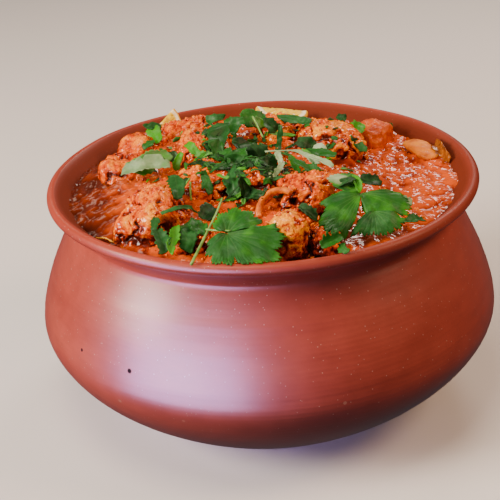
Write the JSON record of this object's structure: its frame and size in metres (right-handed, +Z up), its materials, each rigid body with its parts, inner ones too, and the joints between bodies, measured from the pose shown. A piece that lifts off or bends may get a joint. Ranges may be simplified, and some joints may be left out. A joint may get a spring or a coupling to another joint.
{
  "type": "chicken curry in a clay pot",
  "caption": "Chicken curry in an unglazed round-bellied clay pot with a flared rim, heaped with chicken pieces, onion, lemon and coriander.",
  "frame": {"origin": "centre of the pot's foot, on the surface that it stands on", "axes": "+Z up along the pot's axis, front towards -Y, +X to the right as seen from the front"},
  "size_m": [0.216, 0.216, 0.1271],
  "materials": {
    "terracotta": "unglazed clay, burnished to a soft sheen, with fine turning lines",
    "gravy": "wet, oily, grainy tomato and onion gravy",
    "chicken": "cooked meat under a moist, grainy coat of spice",
    "tomato": "soft, wet, cooked tomato",
    "onion": "fried onion, glossy and a little see-through",
    "lemon": "moist lemon flesh with white pith and yellow rind",
    "coriander": "fresh leaf with a waxy sheen"
  },
  "bodies": {
    "root": {"pot": "terracotta", "gravy": "gravy", "chicken_front_left": "chicken", "chicken_low_left": "chicken", "chicken_left": "chicken", "chicken_far_left": "chicken", "chicken_back_left": "chicken", "chicken_rear": "chicken", "chicken_centre": "chicken", "chicken_middle": "chicken", "chicken_hollow": "chicken", "chicken_front": "chicken", "chicken_front_right": "chicken", "chicken_back_right": "chicken", "chicken_back": "chicken", "tomato_quarter": "tomato", "onion_slice": "onion", "onion_curl": "onion", "lemon_wedge": "lemon", "lemon_slice": "lemon", "coriander_front": "coriander", "coriander_right": "coriander", "leaf_pale": "coriander"}
  },
  "joints": []
}
